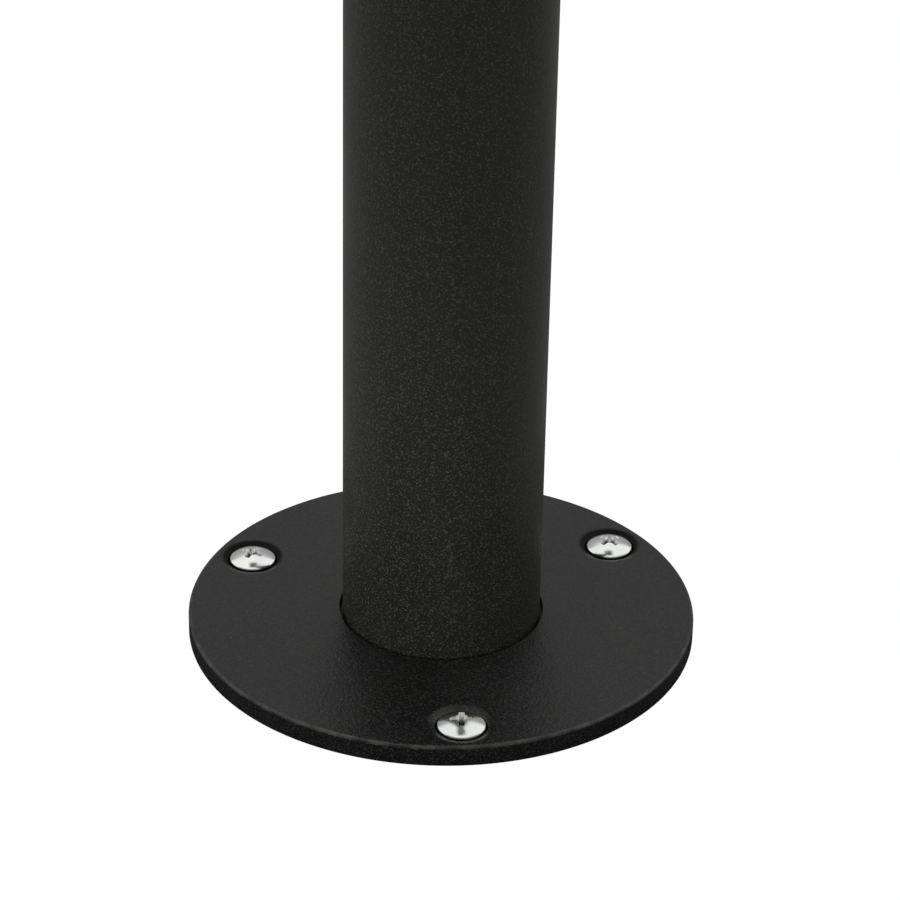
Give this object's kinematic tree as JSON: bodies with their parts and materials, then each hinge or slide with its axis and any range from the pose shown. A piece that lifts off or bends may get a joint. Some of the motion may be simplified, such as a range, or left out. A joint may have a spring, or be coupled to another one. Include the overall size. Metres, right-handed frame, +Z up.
{
  "type": "street clock",
  "caption": "Two-sided round street clock on a slim post with a screwed-down base plate, hinged glazed doors and geared hands.",
  "frame": {"origin": "middle of the base plate's underside, on the post's axis, where the plate rests on the ground", "axes": "+Z up along the post; -Y out of the front dial, +Y out of the rear dial; +X to the right as seen from the front"},
  "size_m": [0.358, 0.128, 1.6],
  "materials": {
    "black_powder_coat": "semi-gloss black powder coat with a fine texture",
    "bright_screw_steel": "bright zinc-plated steel",
    "plain_steel": "machined steel",
    "magnet_plating": "bright nickel plating",
    "black_rubber": "matt black rubber",
    "clear_glass": "clear polished glass",
    "white_plastic": "satin white plastic",
    "white_enamel_paint": "satin white enamel with black hour marks",
    "movement_brass": "lapped brass",
    "wheel_brass": "cut and polished brass",
    "hand_nut_brass": "polished brass",
    "motor_can_steel": "drawn steel can",
    "green_board": "green solder mask",
    "black_plastic": "fine-textured black plastic",
    "battery_jacket": "plain shrink-sleeved cell",
    "hand_paint": "satin black paint on aluminium"
  },
  "bodies": {
    "post_and_case": {"base_plate": "black_powder_coat", "base_screws": "bright_screw_steel", "foot_plug": "plain_steel", "foot_bolts": "bright_screw_steel", "post_tube": "black_powder_coat", "neck_saddle": "black_powder_coat", "neck_screws": "bright_screw_steel", "clamp_block": "plain_steel", "saddle_bolts": "bright_screw_steel", "case_band": "black_powder_coat", "hinge_leaves": "black_powder_coat", "hinge_pins": "bright_screw_steel", "catch_blocks": "black_powder_coat", "catch_magnets": "magnet_plating", "door_seals": "black_rubber"},
    "front_door": {"front_bezel": "black_powder_coat", "front_glass": "clear_glass", "front_glass_gasket": "black_rubber", "front_spacer_ring": "white_plastic", "front_dial": "white_enamel_paint", "front_dial_screws": "bright_screw_steel", "front_movement_front_plate": "movement_brass", "front_movement_back_plate": "movement_brass", "front_movement_pillars": "movement_brass", "front_fixing_nut": "movement_brass", "front_motor": "motor_can_steel", "front_driver_board": "green_board", "front_battery_holder": "black_plastic", "front_battery": "battery_jacket"},
    "front_minute_hand_set": {"front_minute_arbor": "wheel_brass", "front_set_knob": "black_plastic", "front_minute_hand": "hand_paint", "front_hand_nut": "hand_nut_brass"},
    "front_motor_pinion_set": {"front_motor_pinion": "wheel_brass"},
    "front_motion_wheel_set": {"front_motion_wheel": "wheel_brass"},
    "front_hour_hand_set": {"front_hour_wheel": "wheel_brass", "front_hour_hand": "hand_paint"},
    "rear_door": {"rear_bezel": "black_powder_coat", "rear_glass": "clear_glass", "rear_glass_gasket": "black_rubber", "rear_spacer_ring": "white_plastic", "rear_dial": "white_enamel_paint", "rear_dial_screws": "bright_screw_steel", "rear_movement_front_plate": "movement_brass", "rear_movement_back_plate": "movement_brass", "rear_movement_pillars": "movement_brass", "rear_fixing_nut": "movement_brass", "rear_motor": "motor_can_steel", "rear_driver_board": "green_board", "rear_battery_holder": "black_plastic", "rear_battery": "battery_jacket"},
    "rear_minute_hand_set": {"rear_minute_arbor": "wheel_brass", "rear_set_knob": "black_plastic", "rear_minute_hand": "hand_paint", "rear_hand_nut": "hand_nut_brass"},
    "rear_motor_pinion_set": {"rear_motor_pinion": "wheel_brass"},
    "rear_motion_wheel_set": {"rear_motion_wheel": "wheel_brass"},
    "rear_hour_hand_set": {"rear_hour_wheel": "wheel_brass", "rear_hour_hand": "hand_paint"}
  },
  "joints": [
    {"name": "front_door_hinge", "type": "hinge", "parent": "post_and_case", "child": "front_door", "pos_m": [-0.175, -0.047, 1.432], "axis": [0, 0, -1], "range_deg": [0, 120]},
    {"name": "front_minute_hand_turn", "type": "hinge", "parent": "front_door", "child": "front_minute_hand_set", "pos_m": [0, -0.04, 1.432], "axis": [0, 1, 0], "continuous": true},
    {"name": "front_motor_pinion_turn", "type": "hinge", "parent": "front_door", "child": "front_motor_pinion_set", "pos_m": [0, -0.04, 1.4104], "axis": [0, 1, 0], "continuous": true},
    {"name": "front_motion_wheel_turn", "type": "hinge", "parent": "front_door", "child": "front_motion_wheel_set", "pos_m": [0, -0.04, 1.4512], "axis": [0, 1, 0], "continuous": true},
    {"name": "front_hour_hand_turn", "type": "hinge", "parent": "front_door", "child": "front_hour_hand_set", "pos_m": [0, -0.04, 1.432], "axis": [0, 1, 0], "continuous": true},
    {"name": "rear_door_hinge", "type": "hinge", "parent": "post_and_case", "child": "rear_door", "pos_m": [0.175, 0.047, 1.432], "axis": [0, 0, -1], "range_deg": [0, 120]},
    {"name": "rear_minute_hand_turn", "type": "hinge", "parent": "rear_door", "child": "rear_minute_hand_set", "pos_m": [0, 0.04, 1.432], "axis": [0, -1, 0], "continuous": true},
    {"name": "rear_motor_pinion_turn", "type": "hinge", "parent": "rear_door", "child": "rear_motor_pinion_set", "pos_m": [0, 0.04, 1.4104], "axis": [0, -1, 0], "continuous": true},
    {"name": "rear_motion_wheel_turn", "type": "hinge", "parent": "rear_door", "child": "rear_motion_wheel_set", "pos_m": [0, 0.04, 1.4512], "axis": [0, -1, 0], "continuous": true},
    {"name": "rear_hour_hand_turn", "type": "hinge", "parent": "rear_door", "child": "rear_hour_hand_set", "pos_m": [0, 0.04, 1.432], "axis": [0, -1, 0], "continuous": true}
  ],
  "couplings": [
    {"joint": "front_motor_pinion_turn", "follows": "front_minute_hand_turn", "ratio": -4},
    {"joint": "front_motion_wheel_turn", "follows": "front_minute_hand_turn", "ratio": -0.33333},
    {"joint": "front_hour_hand_turn", "follows": "front_minute_hand_turn", "ratio": 0.083333},
    {"joint": "rear_motor_pinion_turn", "follows": "rear_minute_hand_turn", "ratio": -4},
    {"joint": "rear_motion_wheel_turn", "follows": "rear_minute_hand_turn", "ratio": -0.33333},
    {"joint": "rear_hour_hand_turn", "follows": "rear_minute_hand_turn", "ratio": 0.083333}
  ]
}
